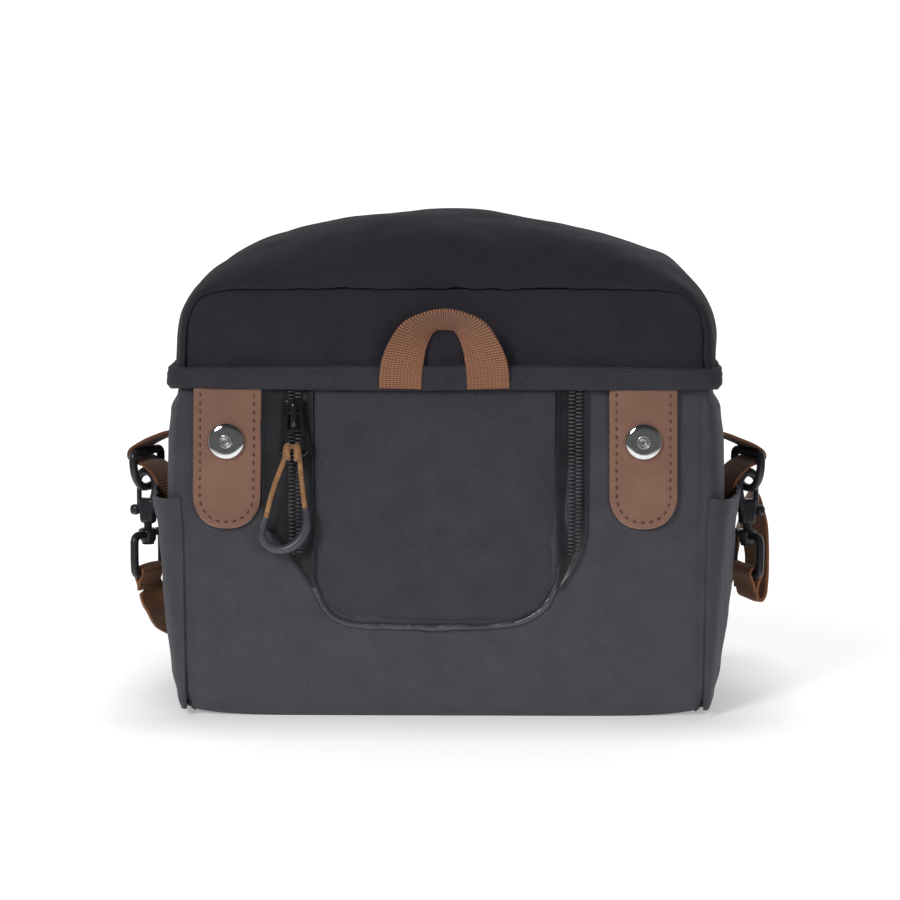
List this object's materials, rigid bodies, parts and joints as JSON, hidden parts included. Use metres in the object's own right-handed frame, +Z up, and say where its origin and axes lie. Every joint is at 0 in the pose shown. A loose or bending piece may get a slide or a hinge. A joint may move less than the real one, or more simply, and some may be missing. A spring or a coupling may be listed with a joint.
{
  "type": "pannier bag",
  "caption": "Soft pannier bag with domed lid, leather closing tabs, front zip pocket, open side pockets, shoulder strap on snap hooks and rear rack hooks.",
  "frame": {"origin": "middle of the base, at floor height", "axes": "+Z up, the front with the zip pocket faces -Y, +X is the right side seen from the front"},
  "size_m": [0.3221, 0.1886, 0.242],
  "materials": {
    "body_fabric": "charcoal twill",
    "lid_fabric": "near-black twill",
    "coated_trim": "coated, satin",
    "zip_coil": "nylon coil",
    "board": "stiffener board",
    "leather": "smooth, stitched",
    "webbing": "ribbed webbing",
    "tan_cord": "round braided cord",
    "grip_rubber": "soft matte",
    "chrome": "polished",
    "steel": "zinc plated",
    "black_metal": "gloss black",
    "black_plastic": "moulded black"
  },
  "bodies": {
    "bag_body": {"front_panel": "body_fabric", "back_panel": "body_fabric", "left_gusset": "body_fabric", "right_gusset": "body_fabric", "base_panel": "body_fabric", "left_side_pocket": "body_fabric", "right_side_pocket": "body_fabric", "front_pocket_panel": "body_fabric", "base_board": "board", "back_board": "board", "pocket_piping": "coated_trim", "left_zip_tape": "coated_trim", "right_zip_tape": "coated_trim", "left_zip_coil": "zip_coil", "right_zip_coil": "zip_coil", "left_catch_disc": "steel", "right_catch_disc": "steel", "left_anchor_tab": "webbing", "right_anchor_tab": "webbing", "strap_left_run": "webbing", "strap_right_run": "webbing", "strap_back_run": "webbing", "rear_rail": "black_plastic", "left_rack_hook": "black_plastic", "right_rack_hook": "black_plastic", "rail_screws": "steel", "lower_anchor_plate": "black_plastic"},
    "lid": {"lid_top_panel": "lid_fabric", "lid_front_panel": "lid_fabric", "lid_left_panel": "lid_fabric", "lid_right_panel": "lid_fabric", "hem_binding": "lid_fabric", "pull_loop": "webbing"},
    "left_tab": {"left_tab": "leather", "left_tab_cap": "chrome", "left_tab_rivet_ring": "chrome", "left_tab_magnet": "steel"},
    "right_tab": {"right_tab": "leather", "right_tab_cap": "chrome", "right_tab_rivet_ring": "chrome", "right_tab_magnet": "steel"},
    "zip_slider": {"zip_slider": "black_metal"},
    "zip_puller": {"zip_puller": "black_metal", "pull_cord": "tan_cord", "pull_grip": "grip_rubber"},
    "strap_adjuster": {"strap_adjuster": "black_plastic"},
    "lower_anchor_hook": {"lower_anchor_hook": "black_plastic"},
    "left_ring": {"left_d_ring": "black_plastic"},
    "left_hook": {"left_hook": "black_plastic"},
    "left_gate": {"left_gate": "black_plastic"},
    "left_swivel": {"left_swivel_eye": "black_plastic", "strap_left_end": "webbing"},
    "left_latch": {"left_rack_latch": "black_plastic"},
    "right_ring": {"right_d_ring": "black_plastic"},
    "right_hook": {"right_hook": "black_plastic"},
    "right_gate": {"right_gate": "black_plastic"},
    "right_swivel": {"right_swivel_eye": "black_plastic", "strap_right_end": "webbing"},
    "right_latch": {"right_rack_latch": "black_plastic"}
  },
  "joints": [
    {"name": "lid_hinge", "type": "hinge", "parent": "bag_body", "child": "lid", "pos_m": [0, 0.0705, 0.2042], "axis": [-1, 0, 0], "range_deg": [0, 105]},
    {"name": "left_tab_hinge", "type": "hinge", "parent": "lid", "child": "left_tab", "pos_m": [-0.103, -0.0748, 0.157], "axis": [-1, 0, 0], "range_deg": [0, 85]},
    {"name": "right_tab_hinge", "type": "hinge", "parent": "lid", "child": "right_tab", "pos_m": [0.094, -0.0748, 0.157], "axis": [-1, 0, 0], "range_deg": [0, 85]},
    {"name": "zip_slide", "type": "slide", "parent": "bag_body", "child": "zip_slider", "axis": [0, 0, -1], "range_m": [0, 0.062]},
    {"name": "puller_swing", "type": "hinge", "parent": "zip_slider", "child": "zip_puller", "pos_m": [-0.0708, -0.0792, 0.148], "axis": [-1, 0, 0], "range_deg": [0, 80]},
    {"name": "adjuster_slide", "type": "slide", "parent": "bag_body", "child": "strap_adjuster", "axis": [1, 0, 0], "range_m": [-0.09, 0.035]},
    {"name": "anchor_turn", "type": "hinge", "parent": "bag_body", "child": "lower_anchor_hook", "pos_m": [0, 0.078, 0.05], "axis": [0, 1, 0], "range_deg": [-60, 60]},
    {"name": "left_ring_swing", "type": "hinge", "parent": "bag_body", "child": "left_ring", "pos_m": [-0.151, 0.008, 0.1185], "axis": [0.4226, 0.9063, 0], "range_deg": [0, 60], "deforming": ["strap_left_run"]},
    {"name": "left_hook_swing", "type": "hinge", "parent": "left_ring", "child": "left_hook", "pos_m": [-0.151, 0.008, 0.102], "axis": [0.4226, 0.9063, 0], "range_deg": [0, 45]},
    {"name": "left_gate_slide", "type": "slide", "parent": "left_hook", "child": "left_gate", "axis": [0, 0, -1], "range_m": [0, 0.006], "stiffness_N_per_m": 150, "springref_m": -0.002},
    {"name": "left_eye_swivel", "type": "hinge", "parent": "left_hook", "child": "left_swivel", "pos_m": [-0.151, 0.008, 0.075], "axis": [0, 0, 1], "range_deg": [-20, 20]},
    {"name": "left_latch_swing", "type": "hinge", "parent": "bag_body", "child": "left_latch", "pos_m": [-0.062, 0.0845, 0.112], "axis": [-1, 0, 0], "range_deg": [0, 60], "stiffness_Nm_per_rad": 0.02, "springref_deg": -17.19},
    {"name": "right_ring_swing", "type": "hinge", "parent": "bag_body", "child": "right_ring", "pos_m": [0.151, 0.008, 0.1185], "axis": [0.4226, -0.9063, 0], "range_deg": [0, 60], "deforming": ["strap_right_run"]},
    {"name": "right_hook_swing", "type": "hinge", "parent": "right_ring", "child": "right_hook", "pos_m": [0.151, 0.008, 0.102], "axis": [0.4226, -0.9063, 0], "range_deg": [0, 45]},
    {"name": "right_gate_slide", "type": "slide", "parent": "right_hook", "child": "right_gate", "axis": [0, 0, -1], "range_m": [0, 0.006], "stiffness_N_per_m": 150, "springref_m": -0.002},
    {"name": "right_eye_swivel", "type": "hinge", "parent": "right_hook", "child": "right_swivel", "pos_m": [0.151, 0.008, 0.075], "axis": [0, 0, 1], "range_deg": [-20, 20]},
    {"name": "right_latch_swing", "type": "hinge", "parent": "bag_body", "child": "right_latch", "pos_m": [0.062, 0.0845, 0.112], "axis": [-1, 0, 0], "range_deg": [0, 60], "stiffness_Nm_per_rad": 0.02, "springref_deg": -17.19}
  ]
}
